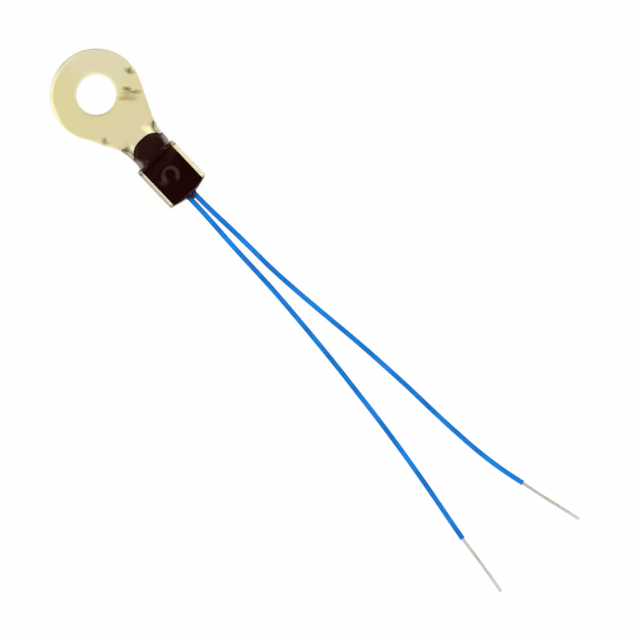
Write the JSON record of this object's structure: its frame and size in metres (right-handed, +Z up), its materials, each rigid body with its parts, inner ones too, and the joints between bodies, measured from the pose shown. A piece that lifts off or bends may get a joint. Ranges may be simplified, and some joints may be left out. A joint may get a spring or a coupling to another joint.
{
  "type": "ring lug ntc thermistor",
  "caption": "Ring-lug temperature probe: a stamped lug with a screw hole, a potted thermistor in its folded barrel and two fine blue leads with bare ends.",
  "frame": {"origin": "centre of the screw hole, on the lug's underside", "axes": "+Z up along the screw hole, +X along the lug towards the leads, +Y to the left seen from the ring"},
  "size_m": [0.0626, 0.0099, 0.0028],
  "materials": {
    "plated_sheet": "tin-plated, satin, slightly yellow with a few dark smudges",
    "potting_resin": "glossy cured resin, almost black red-brown",
    "bead_resin": "glossy resin drop",
    "chip_ceramic": "fired ceramic",
    "electrode_silver": "fired silver, satin",
    "solder": "bright solder",
    "plated_wire": "silver-plated copper, bright",
    "blue_insulation": "smooth thin plastic insulation"
  },
  "bodies": {
    "root": {"ring_lug": "plated_sheet", "potting": "potting_resin", "bead_coating": "bead_resin", "ntc_chip": "chip_ceramic", "electrode_left": "electrode_silver", "electrode_right": "electrode_silver", "solder_joint_left": "solder", "solder_joint_right": "solder", "conductor_left": "plated_wire", "conductor_right": "plated_wire", "insulation_left": "blue_insulation", "insulation_right": "blue_insulation"}
  },
  "joints": []
}
